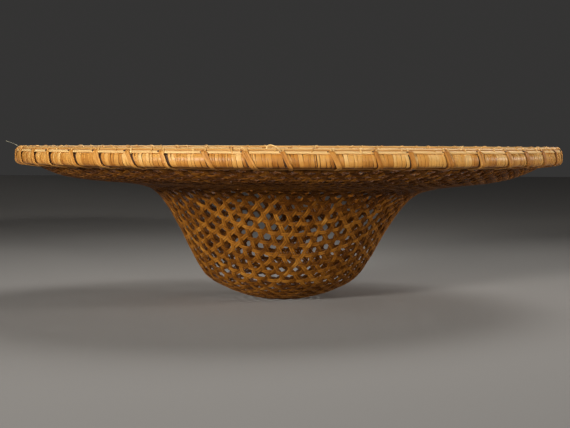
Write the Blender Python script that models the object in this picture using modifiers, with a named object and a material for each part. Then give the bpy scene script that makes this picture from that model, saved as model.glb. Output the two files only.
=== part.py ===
"""Open-weave rattan hat, lying crown down with its brim up.

The crown and the brim are one weave, parted here at the neck. The brim's edge is held in the
mouth of a wound binding, a capping cane lies along the top of the binding, and a lacing cane
runs below it and loops round binding and capping all round the hat. Metres, +Z up, origin on
the surface under the centre of the rim.
"""

import math

import bmesh
import bpy
from mathutils import Matrix, Vector

# Clearance between neighbouring pieces
GAP = 0.0003

# Woven wall of crown and brim
CROWN_REST_RADIUS = 0.020  # flat of the crown that the hat lies on
NECK_RADIUS = 0.112  # where the crown turns out into the brim
NECK_HEIGHT = 0.090
WEAVE_WALL = 0.002  # two crossing canes
CROWN_LEAN = 0.006  # how far the crown sits off the rim's centre, towards -X
NECK_DROOP = 0.0022  # how far the neck is lower at +X and higher at -X
CROWN_ROWS = 12  # rows of facets from the flat to the neck
BRIM_ROWS = 7  # and from the neck to the edge

# Eyes of the weave that are cut through, at their real width and a few rows apart
EYE_WIDTH = 0.007
FIRST_EYE_ROW = 2
EYE_ROW_STEP = 3
EYE_COLUMN_STEP = 3

# Wound binding of the rim
RIM_RADIUS = 0.2298
RIM_BASE = 0.1151  # underside of the binding above the surface
BINDING_HEIGHT = 0.0108
BINDING_WIDTH = 0.0095
BINDING_CHAMFER = 0.0028
EDGE_GRIP = 0.0030  # how far the brim's edge reaches into the binding
EDGE_HEIGHT_SHARE = 0.33  # how far up the binding the brim's edge goes in

# Capping cane
CAP_WIDTH = 0.0062
CAP_HEIGHT = 0.0034
CAP_CHAMFER = 0.0012

# Lacing cane
TIE_COUNT = 48
TIE_WIDTH = 0.0040
TIE_THICKNESS = 0.0009
TIE_SLANT = 0.40  # sideways travel for each unit of height, down to the right from outside
RUNNER_INSET = 0.0024  # gap from the binding's inner face to the running stretch
RUNNER_WIDTH = 0.0024
RUNNER_HEIGHT = 0.0018
RUNNER_SINK = 0.0006  # how far the running stretch reaches into the feet of the ties
FOOT_CLEARANCE = 0.0006  # from the brim to the feet, which also leaves room for its droop

# Sections of the crown's outer face: radius as a share of the way from the flat to the neck,
# height as a share of the neck's height, lean and droop as shares of CROWN_LEAN and NECK_DROOP
CROWN_SECTIONS = [
    {"radius": 0.000, "height": 0.000, "lean": 0.85, "droop": 0.00},
    {"radius": 0.110, "height": 0.027, "lean": 0.88, "droop": 0.05},
    {"radius": 0.270, "height": 0.083, "lean": 0.95, "droop": 0.20},
    {"radius": 0.475, "height": 0.200, "lean": 1.00, "droop": 0.40},
    {"radius": 0.610, "height": 0.400, "lean": 0.90, "droop": 0.55},
    {"radius": 0.740, "height": 0.650, "lean": 0.80, "droop": 0.70},
    {"radius": 0.890, "height": 0.890, "lean": 0.65, "droop": 0.90},
    {"radius": 1.000, "height": 1.000, "lean": 0.55, "droop": 1.00},
]

# Sections of the brim's outer face: radius and height as shares of the way from the neck to the
# woven edge, lean and droop as above
BRIM_SECTIONS = [
    {"radius": 0.06, "height": 0.11, "lean": 0.50, "droop": 0.98},
    {"radius": 0.17, "height": 0.21, "lean": 0.45, "droop": 0.92},
    {"radius": 0.36, "height": 0.30, "lean": 0.32, "droop": 0.78},
    {"radius": 0.58, "height": 0.39, "lean": 0.18, "droop": 0.55},
    {"radius": 0.77, "height": 0.57, "lean": 0.08, "droop": 0.28},
    {"radius": 1.00, "height": 1.00, "lean": 0.00, "droop": 0.00},
]

# Places that follow from the sizes above
STEP_ANGLE = 2 * math.pi / TIE_COUNT  # the facets are as many as the ties, one tie on each
FACET_SHARE = math.cos(STEP_ANGLE / 2)  # radius at the middle of a facet over that at its corners
BINDING_INNER_RADIUS = RIM_RADIUS - BINDING_WIDTH
BINDING_TOP = RIM_BASE + BINDING_HEIGHT
EDGE_RADIUS = BINDING_INNER_RADIUS + EDGE_GRIP
EDGE_HEIGHT = RIM_BASE + BINDING_HEIGHT * EDGE_HEIGHT_SHARE
CAP_BASE = BINDING_TOP + GAP
CAP_TOP = CAP_BASE + CAP_HEIGHT
CAP_MIDDLE_RADIUS = RIM_RADIUS - BINDING_WIDTH / 2
CURVE_STEPS = 12
SHARP_ANGLE = math.radians(35)

COLOURS = {
    "crown cane": ((0.50, 0.27, 0.09, 1), 0.50),
    "brim cane": ((0.42, 0.23, 0.09, 1), 0.52),
    "binding cane": ((0.74, 0.50, 0.23, 1), 0.40),
    "capping cane": ((0.80, 0.58, 0.30, 1), 0.42),
    "lacing cane": ((0.60, 0.33, 0.12, 1), 0.45),
}


def clear_scene():
    for old in list(bpy.data.objects):
        bpy.data.objects.remove(old)


def make_collection(name):
    collection = bpy.data.collections.new(name)
    bpy.context.scene.collection.children.link(collection)
    return collection


def make_material(name):
    colour, roughness = COLOURS[name]
    material = bpy.data.materials.new(name)
    material.use_nodes = True
    shader = material.node_tree.nodes["Principled BSDF"]
    shader.inputs["Base Color"].default_value = colour
    shader.inputs["Roughness"].default_value = roughness
    shader.inputs["Metallic"].default_value = 0.0
    return material


def add_object(name, bm, material_name, collection):
    """Makes the finished bmesh an object, and frees it."""
    mesh = bpy.data.meshes.new(name)
    bm.to_mesh(mesh)
    bm.free()
    mesh.shade_smooth()
    mesh.set_sharp_from_angle(angle=SHARP_ANGLE)
    mesh.materials.append(make_material(material_name))
    piece = bpy.data.objects.new(name, mesh)
    collection.objects.link(piece)
    return piece


def wall_sections():
    """Sections of the whole woven wall's outer face in metres: radius, height, lean, droop."""
    sections = []
    for row in CROWN_SECTIONS:
        radius = CROWN_REST_RADIUS + row["radius"] * (NECK_RADIUS - CROWN_REST_RADIUS)
        height = row["height"] * NECK_HEIGHT
        sections.append((radius, height, row["lean"] * CROWN_LEAN, row["droop"] * NECK_DROOP))
    for row in BRIM_SECTIONS:
        radius = NECK_RADIUS + row["radius"] * (EDGE_RADIUS - NECK_RADIUS)
        height = NECK_HEIGHT + row["height"] * (EDGE_HEIGHT - NECK_HEIGHT)
        sections.append((radius, height, row["lean"] * CROWN_LEAN, row["droop"] * NECK_DROOP))
    return [Vector(section) for section in sections]


def smooth_through(points):
    """A smooth curve through the points, with CURVE_STEPS short steps between two of them."""
    curve = []
    last = len(points) - 1
    for i in range(last):
        start, end = points[i], points[i + 1]
        start_slope = (end - points[i - 1]) / 2 if i else end - start
        end_slope = (points[i + 2] - start) / 2 if i + 1 < last else end - start
        for step in range(CURVE_STEPS):
            t = step / CURVE_STEPS
            curve.append(
                (2 * t**3 - 3 * t**2 + 1) * start
                + (t**3 - 2 * t**2 + t) * start_slope
                + (3 * t**2 - 2 * t**3) * end
                + (t**3 - t**2) * end_slope
            )
    curve.append(points[last])
    return curve


def even_rows(curve, count, first_at=0.0):
    """Points of the curve at even lengths apart, from first_at along it to its end."""
    lengths = [0.0]
    for a, b in zip(curve, curve[1:]):
        lengths.append(lengths[-1] + (b.xy - a.xy).length)
    rows = []
    for k in range(count + 1):
        target = first_at + (lengths[-1] - first_at) * k / count
        i = 0
        while i < len(curve) - 2 and lengths[i + 1] < target:
            i += 1
        share = (target - lengths[i]) / (lengths[i + 1] - lengths[i])
        rows.append(curve[i].lerp(curve[i + 1], share))
    return rows


def crown_rows():
    neck = (len(CROWN_SECTIONS) - 1) * CURVE_STEPS
    return even_rows(smooth_through(wall_sections())[: neck + 1], CROWN_ROWS)


def brim_rows():
    neck = (len(CROWN_SECTIONS) - 1) * CURVE_STEPS
    return even_rows(smooth_through(wall_sections())[neck:], BRIM_ROWS, first_at=GAP)


def brim_face_height(radius):
    """Height of the brim's outer face, carried on straight past its edge."""
    rows = brim_rows()
    steps = list(zip(rows, rows[1:]))
    a, b = next((step for step in steps if radius <= step[1].x), steps[-1])
    return a.y + (b.y - a.y) * (radius - a.x) / (b.x - a.x)


def edge_wall_height():
    """The brim's thickness at its edge, measured straight up."""
    before, edge = brim_rows()[-2:]
    return WEAVE_WALL * (edge.xy - before.xy).length / (edge.x - before.x)


def spin_outline(bm):
    """Turns an outline, drawn in the XZ plane, once round the Z axis, a tie's angle a step."""
    half_step = Matrix.Rotation(STEP_ANGLE / 2, 3, "Z")
    bmesh.ops.rotate(bm, verts=bm.verts[:], cent=(0, 0, 0), matrix=half_step)
    bmesh.ops.spin(
        bm,
        geom=bm.verts[:] + bm.edges[:],
        cent=(0, 0, 0),
        axis=(0, 0, 1),
        angle=2 * math.pi,
        steps=TIE_COUNT,
        use_merge=True,
    )


def is_eye(row, column):
    """Eyes stand in every few rows, each row's half way between those of the row before."""
    eye_row, beside = divmod(row - FIRST_EYE_ROW, EYE_ROW_STEP)
    first_column = eye_row * EYE_COLUMN_STEP // 2
    return beside == 0 and (column - first_column) % EYE_COLUMN_STEP == 0


def open_eyes(bm, chosen):
    """A vertex where six triangles meet is bevelled into a hexagon, which is taken out."""
    made = bmesh.ops.bevel(
        bm,
        geom=chosen,
        offset=EYE_WIDTH / math.sqrt(3),
        offset_type="OFFSET",
        segments=1,
        profile=0.5,
        affect="VERTICES",
        material=-1,
    )
    bmesh.ops.delete(bm, geom=made["faces"], context="FACES_ONLY")


def make_woven_wall(name, rows, first_row, material_name, collection):
    """A stretch of the woven wall. Rows are counted from the flat of the crown to the edge."""
    bm = bmesh.new()
    row_of = bm.verts.layers.int.new("row")
    outline = []
    for index, row in enumerate(rows):
        vertex = bm.verts.new((row.x, 0, row.y))
        vertex[row_of] = index
        outline.append(vertex)
    for a, b in zip(outline, outline[1:]):
        bm.edges.new((a, b))
    spin_outline(bm)

    half_step = Matrix.Rotation(STEP_ANGLE / 2, 3, "Z")
    last_row = len(rows) - 1
    eyes = []
    for vertex in bm.verts:
        index = vertex[row_of]
        row = rows[index]
        column = round(math.atan2(vertex.co.y, vertex.co.x) / STEP_ANGLE - 0.5)
        counted = first_row + index
        if 0 < index < last_row and is_eye(counted, column):
            eyes.append(vertex)
        if (CROWN_ROWS + BRIM_ROWS - counted) % 2:
            vertex.co = half_step @ vertex.co
        side = vertex.co.x / row.x
        vertex.co.x -= row.z
        vertex.co.z -= row.w * side

    bmesh.ops.triangulate(bm, faces=bm.faces[:], quad_method="SHORT_EDGE")
    open_eyes(bm, eyes)
    if first_row == 0:
        flat = [e for e in bm.edges if e.is_boundary and all(v[row_of] == 0 for v in e.verts)]
        bmesh.ops.contextual_create(bm, geom=flat)
    bmesh.ops.recalc_face_normals(bm, faces=bm.faces[:])
    if sum(face.normal.z * face.calc_area() for face in bm.faces) > 0:
        bmesh.ops.reverse_faces(bm, faces=bm.faces[:])  # the outer face looks down
    wall = add_object(name, bm, material_name, collection)
    solidify = wall.modifiers.new("wall", "SOLIDIFY")
    solidify.thickness = WEAVE_WALL
    solidify.offset = -1
    solidify.use_even_offset = True
    return wall


def make_crown(collection):
    return make_woven_wall("crown", crown_rows(), 0, "crown cane", collection)


def make_brim(collection):
    return make_woven_wall("brim", brim_rows(), CROWN_ROWS, "brim cane", collection)


def make_ring(outline):
    """A ring of the given closed outline, a list of (radius, height) points."""
    bm = bmesh.new()
    corners = [bm.verts.new((radius, 0, height)) for radius, height in outline]
    for a, b in zip(corners, corners[1:] + corners[:1]):
        bm.edges.new((a, b))
    spin_outline(bm)
    bmesh.ops.recalc_face_normals(bm, faces=bm.faces[:])
    return bm


def make_rim_binding(collection):
    """A ring whose mouth, in its inner face, follows the slope of the brim's edge."""
    inner = BINDING_INNER_RADIUS
    outer = RIM_RADIUS
    cut = BINDING_CHAMFER
    mouth_end = EDGE_RADIUS + GAP
    rise = edge_wall_height() + GAP
    outline = [
        (inner, brim_face_height(inner) - GAP),
        (inner + cut, RIM_BASE),
        (outer - cut, RIM_BASE),
        (outer, RIM_BASE + cut),
        (outer, BINDING_TOP - cut),
        (outer - cut, BINDING_TOP),
        (inner + cut, BINDING_TOP),
        (inner, BINDING_TOP - cut),
        (inner, brim_face_height(inner) + rise),
        (mouth_end, brim_face_height(mouth_end) + rise),
        (mouth_end, brim_face_height(mouth_end) - GAP),
    ]
    return add_object("rim_binding", make_ring(outline), "binding cane", collection)


def make_capping_cane(collection):
    inner = CAP_MIDDLE_RADIUS - CAP_WIDTH / 2
    outer = CAP_MIDDLE_RADIUS + CAP_WIDTH / 2
    outline = [
        (inner, CAP_BASE),
        (outer, CAP_BASE),
        (outer, CAP_TOP - CAP_CHAMFER),
        (outer - CAP_CHAMFER, CAP_TOP),
        (inner + CAP_CHAMFER, CAP_TOP),
        (inner, CAP_TOP - CAP_CHAMFER),
    ]
    return add_object("capping_cane", make_ring(outline), "capping cane", collection)


def tie_foot():
    """Inner end of a tie, close below the brim: radius and height of its upper face."""
    radius = BINDING_INNER_RADIUS - RUNNER_INSET - RUNNER_WIDTH
    return radius, brim_face_height(radius) - FOOT_CLEARANCE


def tie_path():
    """Inner face of a tie: from its foot out below the binding, up, over the cap and down."""
    inner = BINDING_INNER_RADIUS
    outer = RIM_RADIUS
    cut = BINDING_CHAMFER
    cap_inner = CAP_MIDDLE_RADIUS - CAP_WIDTH / 2
    cap_outer = CAP_MIDDLE_RADIUS + CAP_WIDTH / 2
    brim_face = brim_face_height(inner) + edge_wall_height()
    points = [
        tie_foot(),
        (outer - cut, RIM_BASE - GAP),
        (outer + GAP, RIM_BASE + cut),
        (outer + GAP, BINDING_TOP - cut),
        (cap_outer, CAP_TOP + GAP),
        (cap_inner, CAP_TOP + GAP),
        (inner - GAP, BINDING_TOP - cut),
        (inner - GAP, brim_face + GAP),
    ]
    return [Vector(point) for point in points]


def offset_path(path, distance):
    """The path moved sideways, to the right of its direction, by one even distance."""
    moved = []
    for i, point in enumerate(path):
        runs = [path[j + 1] - path[j] for j in (i - 1, i) if 0 <= j < len(path) - 1]
        normals = [Vector((run.y, -run.x)).normalized() for run in runs]
        middle = sum(normals, Vector((0, 0))).normalized()
        moved.append(point + middle * distance / middle.dot(normals[0]))
    return moved


def make_tie_mesh():
    """One tie on the facet at +X: its side's outline, extruded to the tie's width."""
    path = tie_path()
    outline = path + offset_path(path, TIE_THICKNESS)[::-1]
    bm = bmesh.new()
    corners = [bm.verts.new((p.x * FACET_SHARE, -TIE_WIDTH / 2, p.y)) for p in outline]
    side = bm.faces.new(corners)
    grown = bmesh.ops.extrude_face_region(bm, geom=[side], use_keep_orig=True)
    far_side = [v for v in grown["geom"] if isinstance(v, bmesh.types.BMVert)]
    bmesh.ops.translate(bm, verts=far_side, vec=(0, TIE_WIDTH, 0))
    for vertex in bm.verts:
        outside = vertex.co.x > CAP_MIDDLE_RADIUS * FACET_SHARE
        height = vertex.co.z if outside else CAP_TOP
        vertex.co.y -= TIE_SLANT * (height - RIM_BASE)
    bmesh.ops.recalc_face_normals(bm, faces=bm.faces[:])
    mesh = bpy.data.meshes.new("tie")
    bm.to_mesh(mesh)
    bm.free()
    return mesh


def make_all_ties():
    """All the ties in one mesh, a guide that the running stretch is joined with."""
    tie = make_tie_mesh()
    bm = bmesh.new()
    for k in range(TIE_COUNT):
        before = len(bm.verts)
        bm.from_mesh(tie)
        bm.verts.ensure_lookup_table()
        turn = Matrix.Rotation(k * STEP_ANGLE, 3, "Z")
        bmesh.ops.rotate(bm, verts=bm.verts[before:], cent=(0, 0, 0), matrix=turn)
    ties = add_object("ties", bm, "lacing cane", make_collection("guides"))
    ties.hide_render = True
    ties.display_type = "WIRE"
    return ties


def make_rim_lacing(collection):
    """The running stretch below the brim's edge, joined with the ties that loop off it."""
    inner, foot_height = tie_foot()
    outer = inner + RUNNER_WIDTH
    top = foot_height - TIE_THICKNESS + RUNNER_SINK
    bottom = top - RUNNER_HEIGHT
    outline = [(inner, bottom), (outer, bottom), (outer, top), (inner, top)]
    lacing = add_object("rim_lacing", make_ring(outline), "lacing cane", collection)
    join = lacing.modifiers.new("ties", "BOOLEAN")
    join.operation = "UNION"
    join.solver = "EXACT"
    join.object = make_all_ties()
    return lacing


def main():
    clear_scene()
    collection = make_collection("rattan hat")
    pieces = [
        make_crown(collection),
        make_brim(collection),
        make_rim_binding(collection),
        make_capping_cane(collection),
        make_rim_lacing(collection),
    ]
    hat = bpy.data.objects.new("rattan hat", None)
    collection.objects.link(hat)
    for piece in pieces:
        piece.parent = hat


main()
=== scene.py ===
"""The rattan hat with every cane of its open weave, its wound rim and its lacing. Metres, +Z up."""

import math

import bmesh
import bpy
import numpy as np
from mathutils import Matrix, Vector


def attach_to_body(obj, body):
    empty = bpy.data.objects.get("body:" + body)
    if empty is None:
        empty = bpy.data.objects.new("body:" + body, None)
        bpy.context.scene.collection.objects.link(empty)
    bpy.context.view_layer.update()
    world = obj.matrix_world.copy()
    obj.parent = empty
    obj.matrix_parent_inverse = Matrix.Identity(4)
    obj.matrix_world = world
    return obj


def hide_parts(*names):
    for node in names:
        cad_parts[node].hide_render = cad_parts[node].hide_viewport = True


# Sizes of the hat, as in the part's source
CROWN_REST_RADIUS = 0.020
NECK_RADIUS = 0.112
NECK_HEIGHT = 0.090
WEAVE_WALL = 0.002
CROWN_LEAN = 0.006
NECK_DROOP = 0.0022
RIM_RADIUS = 0.2298
RIM_BASE = 0.1151
BINDING_HEIGHT = 0.0108
BINDING_WIDTH = 0.0095
EDGE_GRIP = 0.0030
EDGE_HEIGHT_SHARE = 0.33
CAP_WIDTH = 0.0062
CAP_HEIGHT = 0.0034
TIE_COUNT = 48
TIE_SLANT = 0.40
RUNNER_INSET = 0.0024
RUNNER_WIDTH = 0.0024

BINDING_INNER_RADIUS = RIM_RADIUS - BINDING_WIDTH
BINDING_TOP = RIM_BASE + BINDING_HEIGHT
RIM_MIDDLE_RADIUS = RIM_RADIUS - BINDING_WIDTH / 2
RIM_MIDDLE_HEIGHT = RIM_BASE + BINDING_HEIGHT / 2
EDGE_RADIUS = BINDING_INNER_RADIUS + EDGE_GRIP
EDGE_HEIGHT = RIM_BASE + BINDING_HEIGHT * EDGE_HEIGHT_SHARE
CAP_TOP = BINDING_TOP + CAP_HEIGHT

# Sections of the woven wall's outer face, with the shares that the part's source has:
# radius, height, lean and droop
CROWN_SECTIONS = [
    (0.000, 0.000, 0.85, 0.00),
    (0.110, 0.027, 0.88, 0.05),
    (0.270, 0.083, 0.95, 0.20),
    (0.475, 0.200, 1.00, 0.40),
    (0.610, 0.400, 0.90, 0.55),
    (0.740, 0.650, 0.80, 0.70),
    (0.890, 0.890, 0.65, 0.90),
    (1.000, 1.000, 0.55, 1.00),
]
BRIM_SECTIONS = [
    (0.06, 0.11, 0.50, 0.98),
    (0.17, 0.21, 0.45, 0.92),
    (0.36, 0.30, 0.32, 0.78),
    (0.58, 0.39, 0.18, 0.55),
    (0.77, 0.57, 0.08, 0.28),
    (1.00, 1.00, 0.00, 0.00),
]

# The six-way weave. Laid out flat it is a sheet with a wedge cut out, two thirds of a full turn,
# with canes in four directions a sixth of a turn apart and all one row apart.
# Length along the wall from the crown's middle, and rows up to there
ROW_COUNTS = [
    (0.000, 0.0),
    (0.020, 3.05),
    (0.040, 5.85),
    (0.055, 7.79),
    (0.075, 10.08),
    (0.095, 12.39),
    (0.115, 14.40),
    (0.135, 16.35),
    (0.160, 18.80),
    (0.200, 23.10),
    (0.245, 28.20),
    (0.272, 31.30),
]
FIRST_CANE_TURN = math.radians(6.1)
CANE_DIRECTIONS = [math.radians(a) for a in (0, 60, 120, 180)]
SPREAD = 1.5  # turn on the hat for each turn on the flat sheet
CROSSING_STEP = 2 / math.sqrt(3)  # rows between two crossings with one direction
SAMPLES_PER_WAVE = 6

CANE_WIDTH = 0.00318  # two splits side by side
SPLIT_GAP = 0.00024
SPLIT_THICKNESS = 0.00070
WEAVE_DEPTH = 0.00046  # how far a cane rises over and sinks under its neighbours
WAVE_STEEPNESS = 1.8  # over 1, the tops of that wave are cut flat
NARROW_LENGTH = 0.05  # canes are narrower this close to the crown's middle, along the wall
NARROWEST = 0.75  # share of the full width that is left there

# Wander of the weave's canes: length of its waves and how far it goes
CANE_SWAY = (0.09, 0.00012)
SPLIT_SWAY = (0.05, 0.00004)
SPLIT_RISE = (0.03, 0.00003)
TONE_DRIFT = (0.04, 0.05)

# Tones of the weave, as shares of its colour ramp
DARKEST_CANE = 0.25
CANE_TONES = 0.35
SPLIT_TONES = 0.15
RISE_WEAR_AND_SHADE = 0.06  # a cane is lighter where it rises over the others and darker where it dips under them: partly wear, partly painted shade
BRIM_TONE_AND_SHADE = 0.13  # the brim's cane is darker than the crown's: partly its own browner cane, partly painted shade of the brim's underside
CROWN_LENGTH = 0.125  # along the wall, from the crown's middle to the neck
BRIM_FADE = 0.030

rng = np.random.default_rng(7207)


# Small tools

def smooth_through(rows, steps=12):
    """A smooth curve through rows of numbers, as in the part's source."""
    rows = [np.array(row, float) for row in rows]
    curve = []
    last = len(rows) - 1
    for i in range(last):
        start, end = rows[i], rows[i + 1]
        start_slope = (end - rows[i - 1]) / 2 if i else end - start
        end_slope = (rows[i + 2] - start) / 2 if i + 1 < last else end - start
        for t in np.arange(steps) / steps:
            curve.append(
                (2 * t**3 - 3 * t**2 + 1) * start
                + (t**3 - 2 * t**2 + t) * start_slope
                + (3 * t**2 - 2 * t**3) * end
                + (t**3 - t**2) * end_slope
            )
    curve.append(rows[last])
    return np.array(curve)


def unit(vectors):
    return vectors / np.linalg.norm(vectors, axis=-1, keepdims=True)


def drift(length, scale, amount):
    """A slow random wander of the given amount, sampled at the given lengths."""
    total = np.zeros(len(length))
    for octave in range(3):
        wave = scale / (1.0 + 0.9 * octave)
        phase = rng.uniform(0, 2 * math.pi)
        total += np.sin(2 * math.pi * length / wave + phase) / (octave + 1.3)
    return amount * total


# Canes as swept grids

HALF_ROUND = [(-1.0, -0.5), (-0.93, 0.16), (0.0, 0.5), (0.93, 0.16), (1.0, -0.5)]
ROUND = [(math.sin(a), -math.cos(a) / 2) for a in np.linspace(0, 2 * math.pi, 8, False)[::-1]]
SHARP_ANGLE = math.radians(50)
MERGE_DISTANCE = 0.000002


def sweep_canes(name, canes, section, material, closed=False):
    """Many canes as one mesh. Each is a grid that is rolled up along its path.

    A cane is a dictionary: path and up (rows of points and of outward directions), width and
    thickness (a number or one for each point), shade, which is its own share of the colour ramp,
    and how much lighter it is at each point, partly rubbed and partly painted shade, which may be
    left out.
    """
    bm = bmesh.new()
    around = len(section)
    for index, cane in enumerate(canes):
        bmesh.ops.create_grid(
            bm,
            x_segments=len(cane["path"]) - 1,
            y_segments=around,
            size=0.5,
            matrix=Matrix.Translation((0, 0, index)),
            calc_uvs=False,
        )
    mesh = bpy.data.meshes.new(name)
    bm.to_mesh(mesh)
    bm.free()
    flat = np.zeros(len(mesh.vertices) * 3)
    mesh.vertices.foreach_get("co", flat)
    flat = flat.reshape(-1, 3)
    which = np.rint(flat[:, 2]).astype(int)
    counts = np.array([len(cane["path"]) for cane in canes])
    starts = np.concatenate([[0], np.cumsum(counts)])[:-1]
    along = np.rint((flat[:, 0] + 0.5) * (counts[which] - 1)).astype(int)
    across = np.rint((flat[:, 1] + 0.5) * around).astype(int)
    row = starts[which] + along

    path = np.concatenate([cane["path"] for cane in canes])
    up = np.concatenate([cane["up"] for cane in canes])
    ahead, lengths = [], []
    for cane in canes:
        p = cane["path"]
        if closed:
            ahead.append(np.gradient(np.vstack([p[-2], p, p[1]]), axis=0)[1:-1])
        else:
            ahead.append(np.gradient(p, axis=0))
        step = np.linalg.norm(np.diff(p, axis=0), axis=1)
        lengths.append(np.concatenate([[0], np.cumsum(step)]))
    ahead = unit(np.concatenate(ahead))
    side = unit(np.cross(up, ahead))
    up = unit(np.cross(ahead, side))
    width = np.concatenate([np.broadcast_to(c["width"], len(c["path"])) for c in canes])
    thick = np.concatenate([np.broadcast_to(c["thickness"], len(c["path"])) for c in canes])
    length = np.concatenate(lengths)
    shade = np.array([cane["shade"] for cane in canes])

    sides = np.array([p[0] for p in section] + [section[0][0]])[across]
    rises = np.array([p[1] for p in section] + [section[0][1]])[across]
    co = (
        path[row]
        + side[row] * (sides * width[row] / 2)[:, None]
        + up[row] * (rises * thick[row])[:, None]
    )
    mesh.vertices.foreach_set("co", co.ravel())

    corners = np.zeros(len(mesh.loops), int)
    mesh.loops.foreach_get("vertex_index", corners)
    uv = mesh.uv_layers.new(name="UVMap")
    uv_rows = np.stack([length[row[corners]], across[corners] / around], axis=1)
    uv.data.foreach_set("uv", uv_rows.ravel())
    tone = mesh.attributes.new("shade", "FLOAT", "POINT")
    tone.data.foreach_set("value", shade[which])
    # How much lighter each point is, partly rubbed and partly painted shade
    wear_and_shade = np.concatenate([np.broadcast_to(c.get("wear_and_shade", 0.0), len(c["path"])) for c in canes])
    wear_and_shade_layer = mesh.attributes.new("wear_and_shade", "FLOAT", "POINT")
    wear_and_shade_layer.data.foreach_set("value", wear_and_shade[row])
    mesh.update()

    bm = bmesh.new()
    bm.from_mesh(mesh)
    bmesh.ops.remove_doubles(bm, verts=bm.verts[:], dist=MERGE_DISTANCE)
    if not closed:
        rims = [e for e in bm.edges if e.is_boundary]
        bmesh.ops.holes_fill(bm, edges=rims, sides=0)
    if bm.calc_volume(signed=True) < 0:
        bmesh.ops.reverse_faces(bm, faces=bm.faces[:])
    bm.to_mesh(mesh)
    bm.free()
    mesh.shade_smooth()
    mesh.set_sharp_from_angle(angle=SHARP_ANGLE)
    return add_piece(name, mesh, material)


def add_piece(name, mesh, material):
    mesh.materials.append(material)
    piece = bpy.data.objects.new(name, mesh)
    bpy.context.scene.collection.objects.link(piece)
    return piece


def attach(piece, slot, *nodes):
    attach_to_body(piece, "root")
    if nodes:
        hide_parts(*nodes)


# The woven wall's surface

PROFILE_POINTS = 700


def wall_profile():
    """The wall's outer face by length from the middle of the crown, at even small steps."""
    rows = [(0.0, 0.0, CROWN_SECTIONS[0][2] * CROWN_LEAN, 0.0)]
    for radius, height, lean, droop in CROWN_SECTIONS:
        r = CROWN_REST_RADIUS + radius * (NECK_RADIUS - CROWN_REST_RADIUS)
        rows.append((r, height * NECK_HEIGHT, lean * CROWN_LEAN, droop * NECK_DROOP))
    for radius, height, lean, droop in BRIM_SECTIONS:
        r = NECK_RADIUS + radius * (EDGE_RADIUS - NECK_RADIUS)
        z = NECK_HEIGHT + height * (EDGE_HEIGHT - NECK_HEIGHT)
        rows.append((r, z, lean * CROWN_LEAN, droop * NECK_DROOP))
    curve = np.vstack([rows[0], smooth_through(rows[1:])])
    lengths = np.concatenate([[0], np.cumsum(np.hypot(*np.diff(curve[:, :2], axis=0).T))])
    even = np.linspace(0, lengths[-1], PROFILE_POINTS)
    return even, np.stack([np.interp(even, lengths, c) for c in curve.T], axis=1)


LENGTHS, PROFILE = wall_profile()
SLOPES = unit(np.gradient(PROFILE[:, :2], LENGTHS, axis=0))
for _ in range(6):
    SLOPES[1:-1] = unit(SLOPES[:-2] + 2 * SLOPES[1:-1] + SLOPES[2:])
ROW_CURVE = smooth_through(ROW_COUNTS)
LAST_ROW = np.interp(LENGTHS[-1], *ROW_CURVE.T)


def wall_point(length, azimuth, depth=0.0):
    """Places and outward directions on the wall, by length from the crown's middle and by
    azimuth, which is counted from the side that faces the camera towards +X."""
    r, z, lean, droop = (np.interp(length, LENGTHS, c) for c in PROFILE.T)
    dr, dz = (np.interp(length, LENGTHS, c) for c in SLOPES.T)
    sin, cos = np.sin(azimuth), np.cos(azimuth)
    place = np.stack([r * sin - lean, -r * cos, z - droop * sin], axis=-1)
    out = unit(np.stack([dz * sin, -dz * cos, -dr], axis=-1))
    return place - out * np.asarray(depth)[..., None], out


def cane_line(direction, number):
    """One cane of the weave: its path, outward directions, lengths and rise over the others."""
    offset = number + 0.5
    reach = math.sqrt(LAST_ROW**2 - offset**2)
    phase = offset / 2 - 0.5
    step = CROSSING_STEP / SAMPLES_PER_WAVE
    first = math.ceil((-reach / CROSSING_STEP + phase) * SAMPLES_PER_WAVE + 0.2)
    last = math.floor((reach / CROSSING_STEP + phase) * SAMPLES_PER_WAVE - 0.2)
    along = (np.arange(first, last + 1) - phase * SAMPLES_PER_WAVE) * step
    along = np.concatenate([[-reach], along, [reach]])
    distance = np.hypot(offset, along)
    azimuth = FIRST_CANE_TURN + SPREAD * (direction + np.arctan2(along, offset))
    length = np.interp(distance, ROW_CURVE[:, 1], ROW_CURVE[:, 0])
    wave = np.clip(WAVE_STEEPNESS * np.cos(2 * math.pi * (along / CROSSING_STEP + phase)), -1, 1)
    place, out = wall_point(length, azimuth, WEAVE_WALL / 2)
    return place, out, length, wave


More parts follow.
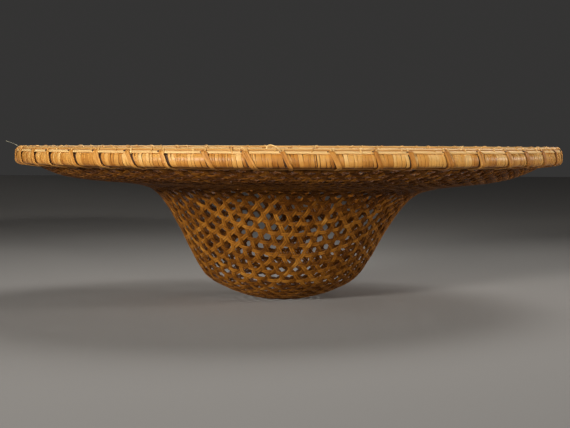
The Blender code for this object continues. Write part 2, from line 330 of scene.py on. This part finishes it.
def weave_family(name, direction, material):
    """All the canes of one direction, each a pair of splits."""
    canes = []
    for number in range(int(LAST_ROW)):
        place, out, length, wave = cane_line(direction, number)
        if len(place) < 6:
            continue
        ahead = unit(np.gradient(place, axis=0))
        side = unit(np.cross(out, ahead))
        run = np.concatenate([[0], np.cumsum(np.linalg.norm(np.diff(place, axis=0), axis=1))])
        widening = np.minimum(1, length / NARROW_LENGTH)
        width = CANE_WIDTH * (NARROWEST + (1 - NARROWEST) * widening)
        sway = drift(run, *CANE_SWAY)
        cane_tone = rng.uniform(0, 1)
        for hand in (-1, 1):
            split_width = (width - SPLIT_GAP) / 2 * rng.uniform(0.94, 1.06)
            sideways = hand * (width + SPLIT_GAP) / 4 + sway + drift(run, *SPLIT_SWAY)
            rise = WEAVE_DEPTH * wave + drift(run, *SPLIT_RISE)
            on_brim = np.clip((length - CROWN_LENGTH) / BRIM_FADE, 0, 1)
            canes.append(
                {
                    "path": place + side * sideways[:, None] + out * rise[:, None],
                    "up": out,
                    "width": split_width,
                    "thickness": SPLIT_THICKNESS,
                    "shade": DARKEST_CANE + CANE_TONES * cane_tone + SPLIT_TONES * rng.uniform(0, 1),
                    # Lighter over crossings and darker under them, partly rubbed and partly painted
                    # shade; a slow random drift; darker on the brim, partly its own cane and partly
                    # painted shade
                    "wear_and_shade": RISE_WEAR_AND_SHADE * wave + drift(run, *TONE_DRIFT) - BRIM_TONE_AND_SHADE * on_brim,
                }
            )
    return sweep_canes(name, canes, HALF_ROUND, material)


# Rim

BINDING_SQUARENESS = 2.6  # 2 is an ellipse, more is squarer


def oval(turn, inset):
    """Points and outward directions (radius, height) of the binding's section, by turn."""
    power = BINDING_SQUARENESS
    a = BINDING_WIDTH / 2 - inset
    b = BINDING_HEIGHT / 2 - inset
    c, s = np.cos(turn), np.sin(turn)
    x = a * np.sign(c) * np.abs(c) ** (2 / power)
    y = b * np.sign(s) * np.abs(s) ** (2 / power)
    nx = np.sign(x) * np.abs(x / a) ** (power - 1) / a
    ny = np.sign(y) * np.abs(y / b) ** (power - 1) / b
    size = np.hypot(nx, ny)
    return x, y, nx / size, ny / size


def rim_point(radius, height, out_radius, out_height, azimuth):
    sin, cos = np.sin(azimuth), np.cos(azimuth)
    place = np.stack([radius * sin, -radius * cos, height], axis=-1)
    out = np.stack([out_radius * sin, -out_radius * cos, out_height], axis=-1)
    return place, out


WRAP_STEPS = 14
WRAP_THICKNESS = 0.0006
WRAP_INSET = 0.00036  # from the binding's outer face to the middle of a turn
WRAP_SLANT = 0.10
WRAP_WIDTHS = [1.6, 2.2, 2.8, 3.4, 4.2]  # millimetres
WRAP_WIDTH_SHARES = [0.14, 0.30, 0.30, 0.18, 0.08]
LEAN_AFTER_TIE = 0.0060  # how far along the rim the turns go on leaning with a tie
LEAN_BEFORE_TIE = 0.0030
LEAN_BEFORE_SHARE = 0.7  # share of a tie's lean that the turns before it take on
WRAP_LEAN_SPREAD = 0.015  # how much single turns differ in slant
WRAP_LIFT = (-0.00014, 0.00012)  # and in height
SLIT_SHARE = 0.12  # share of the turns that stand off the next one
SLIT_WIDTH = (0.00025, 0.0006)
TURN_GAP = 0.00004  # between the other turns
CORE_INSET = 0.00075
CORE_SIDES = 20
CORE_STEPS = 192
TIE_PITCH = 2 * math.pi * RIM_MIDDLE_RADIUS / TIE_COUNT
TIE_WANDER = 0.016  # turn by which a tie may stand off its even place
LEFT_SIDE = (0.76, 0.94)  # the hat's left side, as shares of the way round

# Where each tie stands, how far it slants and how light it is, drawn once for ties and winding
TIES = []
for k in range(TIE_COUNT):
    share = k / TIE_COUNT
    left_side = LEFT_SIDE[0] < share < LEFT_SIDE[1]
    TIES.append(
        {
            "azimuth": 2 * math.pi * share + rng.uniform(-TIE_WANDER, TIE_WANDER),
            "slant": TIE_SLANT * rng.uniform(0.75, 1.35),
            "width": rng.uniform(0.0032, 0.0046),
            "gap_before": rng.choice([0.0004, 0.0008, 0.0012]),
            "gap_after": rng.uniform(0.0014, 0.0022) if left_side else 0.0,
            "tone": rng.uniform(0.6, 1.0) if left_side else rng.uniform(0.0, 0.6),
        }
    )


def wound_binding(material):
    """The rim's winding: turns of split cane side by side, each a closed band.

    Turns near a tie lean with it. The turn on a tie's left stands off it a little, and on the
    hat's left side the turn on a tie's right does so too.
    """
    turn = np.linspace(0, 2 * math.pi, WRAP_STEPS + 1)
    x, y, nx, ny = oval(turn, WRAP_INSET)
    canes = []
    for k, tie in enumerate(TIES):
        after = TIES[(k + 1) % TIE_COUNT]
        full_turn = 2 * math.pi if k + 1 == TIE_COUNT else 0
        start = tie["azimuth"] * RIM_MIDDLE_RADIUS - tie["width"] / 2
        if tie["gap_after"]:
            start += tie["width"] + tie["gap_after"]
        end = (after["azimuth"] + full_turn) * RIM_MIDDLE_RADIUS
        end -= after["width"] / 2 + after["gap_before"]
        stretch = end - start
        widths = []
        while sum(widths) < stretch - 0.001:
            widths.append(rng.choice(WRAP_WIDTHS, p=WRAP_WIDTH_SHARES) / 1000)
        widths = np.array(widths) * stretch / sum(widths)
        middles = start + np.cumsum(widths) - widths / 2
        stretch_tone = rng.uniform(0, 1)
        for middle, width in zip(middles, widths):
            fade = math.exp(-(middle - start) / LEAN_AFTER_TIE)
            lean = (tie["slant"] - WRAP_SLANT) * fade
            fade = math.exp(-(end - middle) / LEAN_BEFORE_TIE)
            lean += (after["slant"] - WRAP_SLANT) * LEAN_BEFORE_SHARE * fade
            slant = WRAP_SLANT + lean + rng.normal(0, WRAP_LEAN_SPREAD)
            lift = rng.uniform(*WRAP_LIFT)
            azimuth = (middle - slant * y) / RIM_MIDDLE_RADIUS
            place, out = rim_point(
                RIM_MIDDLE_RADIUS + x + nx * lift,
                RIM_MIDDLE_HEIGHT + y + ny * lift,
                nx,
                ny,
                azimuth,
            )
            place[-1], out[-1] = place[0], out[0]
            slit = rng.uniform(*SLIT_WIDTH) if rng.uniform() < SLIT_SHARE else TURN_GAP
            canes.append(
                {
                    "path": place,
                    "up": out,
                    "width": width - slit,
                    "thickness": WRAP_THICKNESS,
                    "shade": 0.15 + 0.2 * stretch_tone + 0.6 * rng.uniform(0, 1),
                    # Painted shade: each turn is lighter at its top and darker at its bottom, as
                    # under light from above
                    "wear_and_shade": 0.24 * y / y.max(),
                }
            )
    return sweep_canes("rim_winding", canes, HALF_ROUND, material, closed=True)


def rim_core(material):
    """What the turns are wound on, which shows only between them."""
    bm = bmesh.new()
    turn = np.linspace(0, 2 * math.pi, CORE_SIDES, False)
    x, y, _, _ = oval(turn, CORE_INSET)
    ring = [
        bm.verts.new((RIM_MIDDLE_RADIUS + a, 0, RIM_MIDDLE_HEIGHT + b)) for a, b in zip(x, y)
    ]
    for a, b in zip(ring, ring[1:] + ring[:1]):
        bm.edges.new((a, b))
    bmesh.ops.spin(
        bm,
        geom=bm.verts[:] + bm.edges[:],
        cent=(0, 0, 0),
        axis=(0, 0, 1),
        angle=2 * math.pi,
        steps=CORE_STEPS,
        use_merge=True,
    )
    bmesh.ops.recalc_face_normals(bm, faces=bm.faces[:])
    mesh = bpy.data.meshes.new("rim_core")
    bm.to_mesh(mesh)
    bm.free()
    mesh.shade_smooth()
    return add_piece("rim_core", mesh, material)


# Strands of the capping: sideways place, height above the binding and width, all in metres
CAP_STRANDS = [
    (0.00235, 0.00035, 0.0036),
    (-0.00235, 0.00035, 0.0036),
    (0.00000, 0.00060, 0.0034),
    (0.00000, 0.00215, 0.0042),
]
CAP_THICKNESS = 0.0019
CAP_OVERLAP = 0.05  # turn by which a strand runs on past the start of the next one
CAP_STEP = 0.02  # turn between two points of a strand, roughly
CAP_TIP = 0.50  # how far the outermost strands tip over
CAP_SWING = (0.16, 0.00022)  # sideways wander: length of its waves and how far it goes
CAP_BOB = (0.05, 0.00010)  # the same up and down
CAP_END_SINK = 0.0006  # how far a strand sinks at its ends
CAP_SINK_TURN = 0.02  # turn from an end over which that fades


def capping(material):
    """The capping: canes that lie along the top of the winding, in overlapping lengths."""
    canes = []
    for sideways, above, width in CAP_STRANDS:
        cuts = np.sort(rng.uniform(0, 2 * math.pi, 2))
        for start, end in ((cuts[0], cuts[1]), (cuts[1], cuts[0] + 2 * math.pi)):
            points = max(12, int((end - start) / CAP_STEP))
            azimuth = np.linspace(start - CAP_OVERLAP, end + CAP_OVERLAP, points)
            run = azimuth * RIM_MIDDLE_RADIUS
            swing = drift(run, *CAP_SWING)
            bob = drift(run, *CAP_BOB)
            to_end = np.minimum(azimuth - azimuth[0], azimuth[-1] - azimuth)
            end_sink = CAP_END_SINK * np.exp(-to_end / CAP_SINK_TURN)
            radius = RIM_MIDDLE_RADIUS + sideways + swing
            height = BINDING_TOP + above + bob - end_sink
            tip = CAP_TIP * sideways / CAP_STRANDS[0][0]
            place, out = rim_point(
                radius,
                height,
                np.full_like(run, math.sin(tip)),
                np.full_like(run, math.cos(tip)),
                azimuth,
            )
            canes.append(
                {
                    "path": place,
                    "up": out,
                    "width": width * (1 + drift(run, 0.2, 0.04)),
                    "thickness": CAP_THICKNESS,
                    "shade": rng.uniform(0.3, 0.9),
                }
            )
    return sweep_canes("capping_strands", canes, ROUND, material)


def round_path(corners, radius, steps=4):
    """A path through corners with each corner rounded off. Corners are (radius, height)."""
    points = []
    corners = [np.array(c, float) for c in corners]
    count = len(corners)
    for i, corner in enumerate(corners):
        before = corners[i - 1] - corner
        after = corners[(i + 1) % count] - corner
        cut = min(radius, np.linalg.norm(before) * 0.48, np.linalg.norm(after) * 0.48)
        a = corner + before / np.linalg.norm(before) * cut
        b = corner + after / np.linalg.norm(after) * cut
        for t in np.linspace(0, 1, steps):
            points.append((1 - t) ** 2 * a + 2 * t * (1 - t) * corner + t**2 * b)
    return np.array(points)


def brim_height(radius):
    """Height of the wall's outer face at a radius near the edge."""
    return np.interp(radius, PROFILE[:, 0], PROFILE[:, 1])


def closed_loop(corners, radius):
    """A rounded closed loop in the (radius, height) plane, with its outward directions."""
    loop = round_path(corners, radius)
    ahead = np.gradient(np.vstack([loop[-1], loop, loop[0]]), axis=0)[1:-1]
    normal = unit(np.stack([ahead[:, 1], -ahead[:, 0]], axis=1))
    if ((loop - loop.mean(axis=0)) * normal).sum() < 0:
        normal = -normal
    return np.vstack([loop, loop[0]]), np.vstack([normal, normal[0]])


def loop_cane(loop, normal, lift, azimuth, shift, width, thickness, shade):
    """A cane round a closed loop, moved sideways by shift at each of its points."""
    place, out = rim_point(
        loop[:, 0] + normal[:, 0] * lift,
        loop[:, 1] + normal[:, 1] * lift,
        normal[:, 0],
        normal[:, 1],
        azimuth + shift / RIM_MIDDLE_RADIUS,
    )
    place[-1], out[-1] = place[0], out[0]
    return {"path": place, "up": out, "width": width, "thickness": thickness, "shade": shade}


TIE_LIFT = 0.00015  # least height of a strand's middle over the binding's faces
STRAND_OVERLAP = 1.04  # a strand is this much wider than its share of the tie
TIE_THICKNESS = 0.0007
TIE_WIDE = 0.0040  # ties wider than this have three strands, the others two
STITCH_THICKNESS = 0.0005
CROSSED_SHARE = 0.45  # share of the ties beside which a second stitch crosses the first
RUNNER_THICKNESS = 0.0013
RUNNER_DROP = 0.0009  # from the wall's outer face down to the middle of the running cane
RUNNER_POINTS = 289
FOOT_RADIUS = BINDING_INNER_RADIUS - RUNNER_INSET - RUNNER_WIDTH - 0.0012


def ties(material):
    """Loops of two or three strands round binding, brim edge and the capping's lower canes."""
    corners = [
        (RIM_MIDDLE_RADIUS + 0.0042, BINDING_TOP + 0.0008),
        (RIM_RADIUS + TIE_LIFT, BINDING_TOP - 0.0030),
        (RIM_RADIUS + TIE_LIFT, RIM_BASE + 0.0018),
        (RIM_RADIUS - 0.0026, RIM_BASE - TIE_LIFT),
        (FOOT_RADIUS + 0.0030, brim_height(FOOT_RADIUS + 0.0030) - 0.0020),
        (FOOT_RADIUS, brim_height(FOOT_RADIUS) - 0.0008),
        (FOOT_RADIUS - 0.0004, brim_height(FOOT_RADIUS) + 0.0024),
        (BINDING_INNER_RADIUS - TIE_LIFT, brim_height(BINDING_INNER_RADIUS) + 0.0030),
        (BINDING_INNER_RADIUS - TIE_LIFT, BINDING_TOP - 0.0030),
        (RIM_MIDDLE_RADIUS - 0.0042, BINDING_TOP + 0.0008),
        (RIM_MIDDLE_RADIUS - 0.0020, BINDING_TOP + 0.0014),
        (RIM_MIDDLE_RADIUS + 0.0020, BINDING_TOP + 0.0014),
    ]
    loop, normal = closed_loop(corners, 0.0016)
    outside = loop[:, 0] > RIM_MIDDLE_RADIUS
    inner_rise = np.clip((loop[:, 1] - RIM_BASE) / BINDING_HEIGHT, 0, 1)
    canes = []
    for tie in TIES:
        strands = 3 if tie["width"] > TIE_WIDE else 2
        for strand in range(strands):
            sideways = (strand - (strands - 1) / 2) * tie["width"] / strands
            slant = tie["slant"] + rng.uniform(-0.08, 0.08)
            rise = np.where(outside, loop[:, 1] - RIM_BASE, BINDING_HEIGHT * inner_rise)
            shift = sideways + slant * (BINDING_HEIGHT / 2 - rise)
            canes.append(
                loop_cane(
                    loop,
                    normal,
                    rng.uniform(0.0, 0.00015),
                    tie["azimuth"],
                    shift,
                    tie["width"] / strands * STRAND_OVERLAP,
                    TIE_THICKNESS,
                    0.55 * tie["tone"] + 0.45 * rng.uniform(0, 1),
                )
            )
    return sweep_canes("rim_ties", canes, HALF_ROUND, material, closed=True)


def cap_stitches(material):
    """Narrow stitches that hold the capping down, two or three for each tie."""
    half = CAP_WIDTH / 2
    corners = [
        (RIM_MIDDLE_RADIUS + half + 0.0006, BINDING_TOP - 0.0012),
        (RIM_MIDDLE_RADIUS - half - 0.0006, BINDING_TOP - 0.0012),
        (RIM_MIDDLE_RADIUS - half - 0.0002, BINDING_TOP + 0.0012),
        (RIM_MIDDLE_RADIUS - half + 0.0016, CAP_TOP - 0.0002),
        (RIM_MIDDLE_RADIUS + half - 0.0016, CAP_TOP - 0.0002),
        (RIM_MIDDLE_RADIUS + half + 0.0002, BINDING_TOP + 0.0012),
    ]
    loop, normal = closed_loop(corners, 0.0012)
    canes = []
    for tie in TIES:
        side = rng.uniform(-0.001, 0.001)
        leans = [(tie["azimuth"] * RIM_MIDDLE_RADIUS - 0.0030 + side, rng.uniform(-0.5, 0.9))]
        if rng.uniform() < CROSSED_SHARE:
            leans.append((leans[0][0] + rng.uniform(-0.0008, 0.0008), -leans[0][1]))
        other = tie["azimuth"] * RIM_MIDDLE_RADIUS + TIE_PITCH * rng.uniform(0.35, 0.65)
        leans.append((other, rng.uniform(-0.6, 0.9)))
        for middle, lean in leans:
            shift = lean * (loop[:, 0] - RIM_MIDDLE_RADIUS)
            canes.append(
                loop_cane(
                    loop,
                    normal,
                    rng.uniform(0.0, 0.0003),
                    middle / RIM_MIDDLE_RADIUS,
                    shift,
                    rng.uniform(0.0009, 0.0016),
                    STITCH_THICKNESS,
                    rng.uniform(0.2, 0.8),
                )
            )
    return sweep_canes("cap_stitches", canes, HALF_ROUND, material, closed=True)


def dark_stubs(material):
    """Small dark round stubs beside the head of each tie, lying on top of the winding."""
    ends = []
    for tie in TIES:
        side = -0.5 * tie["width"] - tie["slant"] * BINDING_HEIGHT / 2
        side -= rng.uniform(0.0004, 0.0014)
        azimuth = tie["azimuth"] + side / RIM_MIDDLE_RADIUS
        radius = RIM_MIDDLE_RADIUS + np.linspace(0.0020, rng.uniform(0.0043, 0.0046), 3)
        height = BINDING_TOP + rng.uniform(0.0004, 0.0011)
        size = rng.uniform(0.0014, 0.0018) if tie["gap_after"] else rng.uniform(0.0006, 0.0012)
        heights, azimuths = np.full(3, height), np.full(3, azimuth)
        place, _ = rim_point(radius, heights, np.ones(3), np.zeros(3), azimuths)
        ends.append(
            {
                "path": place,
                "up": np.tile((0.0, 0.0, 1.0), (3, 1)),
                "width": size,
                "thickness": size * 0.9,
                "shade": 0.0,
            }
        )
    return sweep_canes("dark_stubs", ends, ROUND, material)


def running_cane(material):
    """The stretch that runs below the brim, close inside the binding, held by the ties."""
    azimuth = np.linspace(0, 2 * math.pi, RUNNER_POINTS)
    middle = BINDING_INNER_RADIUS - RUNNER_INSET - RUNNER_WIDTH / 2
    radius = middle + 0.0003 * np.sin(azimuth * 7)
    height = brim_height(middle) - RUNNER_DROP + 0.0002 * np.sin(azimuth * 31)
    place, out = rim_point(radius, height, np.zeros_like(azimuth), -np.ones_like(azimuth), azimuth)
    place[-1], out[-1] = place[0], out[0]
    cane = {
        "path": place,
        "up": out,
        "width": RUNNER_WIDTH,
        "thickness": RUNNER_THICKNESS,
        "shade": 0.6,
    }
    return sweep_canes("running_cane", [cane], HALF_ROUND, material, closed=True)


def loose_ends(material, dry_material):
    """Cut ends and fibres that stand out of the rim, and one dry grey fibre at its left end."""
    ends = []

    def fibre(degrees, points, width, shade):
        """Points are (sideways, outwards, upwards) from the cap's top at that azimuth. They and
        the width are in millimetres."""
        rows = smooth_through(np.array(points) * 0.001, 4)
        width *= 0.001
        azimuth = math.radians(degrees)
        sin, cos = math.sin(azimuth), math.cos(azimuth)
        right, away = np.array([cos, sin, 0]), np.array([sin, -cos, 0])
        base = away * RIM_MIDDLE_RADIUS + np.array([0, 0, CAP_TOP])
        path = base + rows @ np.array([right, away, [0, 0, 1]])
        taper = np.linspace(1, 0.45, len(path))
        ends.append(
            {
                "path": path,
                "up": np.tile(away, (len(path), 1)),
                "width": width * taper,
                "thickness": width * 0.6 * taper,
                "shade": shade,
            }
        )

    fibre(-84, [(0, 0, -2), (-1, 4, 0.5), (-1, 9, 2.6), (0, 13, 4)], 0.9, 0.5)
    dry = sweep_canes("dry_fibre", ends, ROUND, dry_material)
    ends.clear()
    curl = [(-16, 2.4, -0.6), (-15, 3.0, 1.4), (-12.5, 3.2, 2.1), (-9, 3.6, 0.6), (-5, 4.2, -3.2)]
    fibre(0, curl, 1.0, 1.0)
    fibre(-9, [(0, 2.6, -4), (1.5, 2.8, -1), (3, 2.2, 1.6)], 0.9, 0.7)
    fibre(33, [(0, 2.0, -1.5), (0.8, 2.2, 0.8), (2.2, 2.2, 1.6)], 1.0, 1.0)
    fibre(62, [(0, 2.0, -1.5), (1.5, 2.0, 0.9), (3.5, 1.6, 1.2)], 0.9, 0.8)
    return sweep_canes("loose_fibres", ends, ROUND, material), dry


# Materials

def new_material(name):
    material = bpy.data.materials.new(name)
    material.use_nodes = True
    nodes = material.node_tree.nodes
    nodes.clear()
    shader = nodes.new("ShaderNodeBsdfPrincipled")
    output = nodes.new("ShaderNodeOutputMaterial")
    material.node_tree.links.new(shader.outputs["BSDF"], output.inputs["Surface"])
    return material, material.node_tree, shader


def ramp_of(tree, source, stops):
    ramp = tree.nodes.new("ShaderNodeValToRGB")
    elements = ramp.color_ramp.elements
    while len(elements) < len(stops):
        elements.new(0.5)
    for element, (position, colour) in zip(elements, stops):
        element.position = position
        element.color = (*colour, 1)
    tree.links.new(source, ramp.inputs["Fac"])
    return ramp.outputs["Color"]


def maths(tree, operation, *values, clamp=False):
    """A Math node. Each value is a number or another node's output."""
    node = tree.nodes.new("ShaderNodeMath")
    node.operation = operation
    node.use_clamp = clamp
    for value, socket in zip(values, node.inputs):
        if isinstance(value, bpy.types.NodeSocket):
            tree.links.new(value, socket)
        else:
            socket.default_value = value
    return node.outputs[0]


def tinted(tree, colour, tint, share):
    """A colour multiplied by a tint, as far as the share says."""
    node = tree.nodes.new("ShaderNodeMix")
    node.data_type = "RGBA"
    node.blend_type = "MULTIPLY"
    node.inputs["B"].default_value = (*tint, 1)
    tree.links.new(colour, node.inputs["A"])
    tree.links.new(share, node.inputs["Factor"])
    return node.outputs["Result"]


def attribute(tree, name):
    node = tree.nodes.new("ShaderNodeAttribute")
    node.attribute_name = name
    return node.outputs["Fac"]


def noise(tree, vector, scale, detail, roughness=0.5):
    node = tree.nodes.new("ShaderNodeTexNoise")
    node.inputs["Scale"].default_value = scale
    node.inputs["Detail"].default_value = detail
    node.inputs["Roughness"].default_value = roughness
    tree.links.new(vector, node.inputs["Vector"])
    return node.outputs["Fac"]


def map_range(tree, value, from_max, to_min, to_max):
    """Maps a value from 0 to from_max onto another range."""
    node = tree.nodes.new("ShaderNodeMapRange")
    node.inputs["From Max"].default_value = from_max
    node.inputs["To Min"].default_value = to_min
    node.inputs["To Max"].default_value = to_max
    tree.links.new(value, node.inputs["Value"])
    return node.outputs["Result"]


GRAIN_ALONG = 45  # noise cells for each metre of cane
GRAIN_ROUND = 16  # noise cells once round a cane
GRAIN_APART = 91.7  # noise cells between two canes whose shades differ by 1
GRAIN_TONE = 0.5  # how much the grain moves the tone
BLOTCH_SCALE = 90  # blotches for each metre
SIDE_SPAN = 0.4  # v at the middle of the outer face; the sides lie at 0 and at twice this
SIDE_FADE = 0.22  # v from a side to where it is no longer darker
INNER_FACE = 0.81  # v over this is the flat inner face


def cane_material(
    name, tones, grain_dark, roughness, side_shade, gloss=0.5, inner_tint_and_shade=(1, 1, 1), blotch=0.35
):
    """Split cane: a tone for each split, long fine grain, sides darkened with painted shade and slow
    blotches.

    The UV map runs along the cane in metres (u) and once round it (v).
    """
    material, tree, shader = new_material(name)
    nodes, links = tree.nodes, tree.links
    shade = attribute(tree, "shade")
    wear_and_shade = attribute(tree, "wear_and_shade")
    uv = nodes.new("ShaderNodeUVMap")
    uv.uv_map = "UVMap"
    parts = nodes.new("ShaderNodeSeparateXYZ")
    links.new(uv.outputs["UV"], parts.inputs["Vector"])
    along, around = parts.outputs["X"], parts.outputs["Y"]

    # Grain: noise that is stretched along the cane and differs from cane to cane
    lane = nodes.new("ShaderNodeCombineXYZ")
    links.new(maths(tree, "MULTIPLY", along, GRAIN_ALONG), lane.inputs["X"])
    links.new(maths(tree, "MULTIPLY", around, GRAIN_ROUND), lane.inputs["Y"])
    links.new(maths(tree, "MULTIPLY", shade, GRAIN_APART), lane.inputs["Z"])
    grain = noise(tree, lane.outputs["Vector"], 1.0, 5.0, 0.65)

    # Tone of the split, moved by blotches in the object's own space, by the grain, and by a
    # per-point lightening that is partly rubbed and partly painted shade
    place = nodes.new("ShaderNodeTexCoord")
    patches = noise(tree, place.outputs["Object"], BLOTCH_SCALE, 3.0)
    tone = maths(tree, "MULTIPLY_ADD", patches, blotch, shade)
    tone = maths(tree, "MULTIPLY_ADD", grain, GRAIN_TONE, tone)
    tone = maths(tree, "ADD", tone, wear_and_shade)
    tone = maths(tree, "SUBTRACT", tone, (GRAIN_TONE + blotch) / 2)
    colour = ramp_of(tree, tone, tones)

    # Dark streaks of the grain
    streak = ramp_of(tree, grain, [(0.30, (1, 1, 1)), (0.48, (0, 0, 0))])
    colour = tinted(tree, colour, grain_dark, streak)

    # Painted shade darkens the split's sides on its outer face, where it meets its neighbours, and
    # its flat inner face takes a tint that is partly its own colour and partly painted shade of the
    # hat's inside
    to_side = maths(tree, "PINGPONG", around, SIDE_SPAN)
    inner = maths(tree, "GREATER_THAN", around, INNER_FACE)
    sides = map_range(tree, to_side, SIDE_FADE, 1.0, 0.0)
    sides = maths(tree, "SUBTRACT", sides, inner, clamp=True)
    colour = tinted(tree, colour, (side_shade, side_shade * 0.82, side_shade * 0.62), sides)
    colour = tinted(tree, colour, inner_tint_and_shade, inner)
    links.new(colour, shader.inputs["Base Color"])

    rough = map_range(tree, grain, 1.0, roughness - 0.10, roughness + 0.16)
    links.new(rough, shader.inputs["Roughness"])
    shader.inputs["Specular IOR Level"].default_value = gloss
    shader.inputs["Coat Weight"].default_value = 0.2 * gloss
    shader.inputs["Coat Roughness"].default_value = 0.35

    relief = nodes.new("ShaderNodeBump")
    relief.inputs["Strength"].default_value = 0.6
    relief.inputs["Distance"].default_value = 0.00008
    links.new(grain, relief.inputs["Height"])
    links.new(relief.outputs["Normal"], shader.inputs["Normal"])
    return material


def plain_material(name, colour):
    """A dull mottled finish, for what shows only in gaps and for dry fibre."""
    material, tree, shader = new_material(name)
    place = tree.nodes.new("ShaderNodeTexCoord")
    mottle = noise(tree, place.outputs["Object"], 300, 4)
    dark = tuple(c * 0.6 for c in colour)
    tone = ramp_of(tree, mottle, [(0.35, dark), (0.65, colour)])
    tree.links.new(tone, shader.inputs["Base Color"])
    shader.inputs["Roughness"].default_value = 0.7
    return material


# Scene

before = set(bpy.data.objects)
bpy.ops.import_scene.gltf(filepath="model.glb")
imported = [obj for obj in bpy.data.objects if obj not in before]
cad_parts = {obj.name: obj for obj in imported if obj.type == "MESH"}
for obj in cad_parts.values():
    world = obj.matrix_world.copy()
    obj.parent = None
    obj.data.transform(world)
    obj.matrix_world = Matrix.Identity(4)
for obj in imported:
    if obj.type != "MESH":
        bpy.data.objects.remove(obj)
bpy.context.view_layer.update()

weave_cane = cane_material(
    "weave cane",
    [
        (0.0, (0.045, 0.013, 0.002)),
        (0.4, (0.145, 0.048, 0.005)),
        (0.7, (0.36, 0.140, 0.016)),
        (1.0, (0.58, 0.280, 0.050)),
    ],
    grain_dark=(0.62, 0.46, 0.32),
    roughness=0.48,
    side_shade=0.35,
    gloss=0.08,
    inner_tint_and_shade=(0.95, 0.90, 0.85),
    blotch=0.6,
)
binding_cane = cane_material(
    "binding cane",
    [
        (0.0, (0.30, 0.105, 0.014)),
        (0.4, (0.56, 0.245, 0.045)),
        (0.75, (0.72, 0.380, 0.095)),
        (1.0, (0.86, 0.560, 0.220)),
    ],
    grain_dark=(0.86, 0.72, 0.52),
    roughness=0.36,
    side_shade=0.60,
    gloss=0.3,
)
capping_cane = cane_material(
    "capping cane",
    [(0.0, (0.56, 0.260, 0.060)), (0.5, (0.78, 0.450, 0.140)), (1.0, (0.90, 0.620, 0.270))],
    grain_dark=(0.80, 0.62, 0.42),
    roughness=0.50,
    side_shade=0.75,
    gloss=0.3,
)
lacing_cane = cane_material(
    "lacing cane",
    [(0.0, (0.33, 0.115, 0.014)), (0.5, (0.55, 0.235, 0.040)), (1.0, (0.76, 0.410, 0.110))],
    grain_dark=(0.78, 0.60, 0.40),
    roughness=0.52,
    side_shade=0.6,
    gloss=0.25,
)
# The core's near-black colour is partly its own dark colour and partly painted shade of the narrow
# gaps between the turns, where it shows
core_cane = plain_material("core cane", (0.08, 0.028, 0.007))
dry_fibre = plain_material("dry fibre", (0.34, 0.33, 0.24))

for index, direction in enumerate(CANE_DIRECTIONS):
    family = weave_family(f"weave_canes_{index + 1}", direction, weave_cane)
    attach(family, "crown_weave", "crown", "brim")

attach(wound_binding(binding_cane), "rim_binding", "rim_binding")
attach(rim_core(core_cane), "rim_binding")
attach(capping(capping_cane), "capping_cane", "capping_cane")
attach(cap_stitches(capping_cane), "capping_cane")
attach(ties(lacing_cane), "rim_lacing", "rim_lacing")
attach(running_cane(lacing_cane), "rim_lacing")
attach(dark_stubs(core_cane), "rim_lacing")
for ends in loose_ends(capping_cane, dry_fibre):
    attach(ends, "rim_binding")


# Floor, light and camera

FLOOR_HALF_WIDTH = 4


def stage():
    bm = bmesh.new()
    bmesh.ops.create_grid(bm, x_segments=1, y_segments=1, size=FLOOR_HALF_WIDTH)
    mesh = bpy.data.meshes.new("floor")
    bm.to_mesh(mesh)
    bm.free()
    material, _, shader = new_material("floor paper")
    shader.inputs["Base Color"].default_value = (0.43, 0.42, 0.41, 1)
    shader.inputs["Roughness"].default_value = 0.9
    shader.inputs["Specular IOR Level"].default_value = 0.1
    floor = add_piece("floor", mesh, material)

    world = bpy.data.worlds.new("studio")
    world.use_nodes = True
    background = world.node_tree.nodes["Background"]
    background.inputs["Color"].default_value = (1.0, 0.98, 0.96, 1)
    background.inputs["Strength"].default_value = 0.035
    bpy.context.scene.world = world

    def softbox(name, place, target, size, spread, power, colour):
        light = bpy.data.lights.new(name, "AREA")
        light.shape = "ELLIPSE"
        light.size, light.size_y = size
        light.spread = math.radians(spread)
        light.energy = power
        light.color = colour
        lamp = bpy.data.objects.new(name, light)
        lamp.location = place
        lamp.rotation_euler = (Vector(target) - Vector(place)).to_track_quat("-Z", "Y").to_euler()
        bpy.context.scene.collection.objects.link(lamp)

    softbox("key", (-1.73, -2.45, 0.62), (0, 0, 0.10), (0.9, 0.25), 50, 6.0, (1.0, 0.95, 0.88))
    softbox("strip", (0.90, -2.82, 0.52), (0, 0, 0.306), (1.4, 0.08), 12, 1.1, (1.0, 0.95, 0.88))
    softbox("top", (0.55, 0.90, 1.45), (-0.10, -0.45, 0.10), (1.3, 1.3), 56, 2.8, (1.0, 0.97, 0.93))
    softbox("fill", (2.88, 0.20, 0.48), (0, 0, 0.10), (0.8, 0.25), 50, 2.3, (1.0, 0.94, 0.86))


CAMERA_LENS = 89.28  # millimetres, on a sensor 36 mm wide
CAMERA_PLACE = (-0.0028, -1.2098, 0.1354)
CAMERA_PITCH = math.radians(90 - 3.028)
CAMERA_ROLL = math.radians(0.19)


def camera():
    lens = bpy.data.cameras.new("camera")
    lens.sensor_width = 36
    lens.sensor_fit = "HORIZONTAL"
    lens.lens = CAMERA_LENS
    lens.clip_start = 0.05
    eye = bpy.data.objects.new("camera", lens)
    eye.matrix_world = (
        Matrix.Translation(CAMERA_PLACE)
        @ Matrix.Rotation(CAMERA_PITCH, 4, "X")
        @ Matrix.Rotation(CAMERA_ROLL, 4, "Z")
    )
    bpy.context.scene.collection.objects.link(eye)
    bpy.context.scene.camera = eye


stage()
camera()
bpy.context.scene.view_settings.view_transform = "Standard"
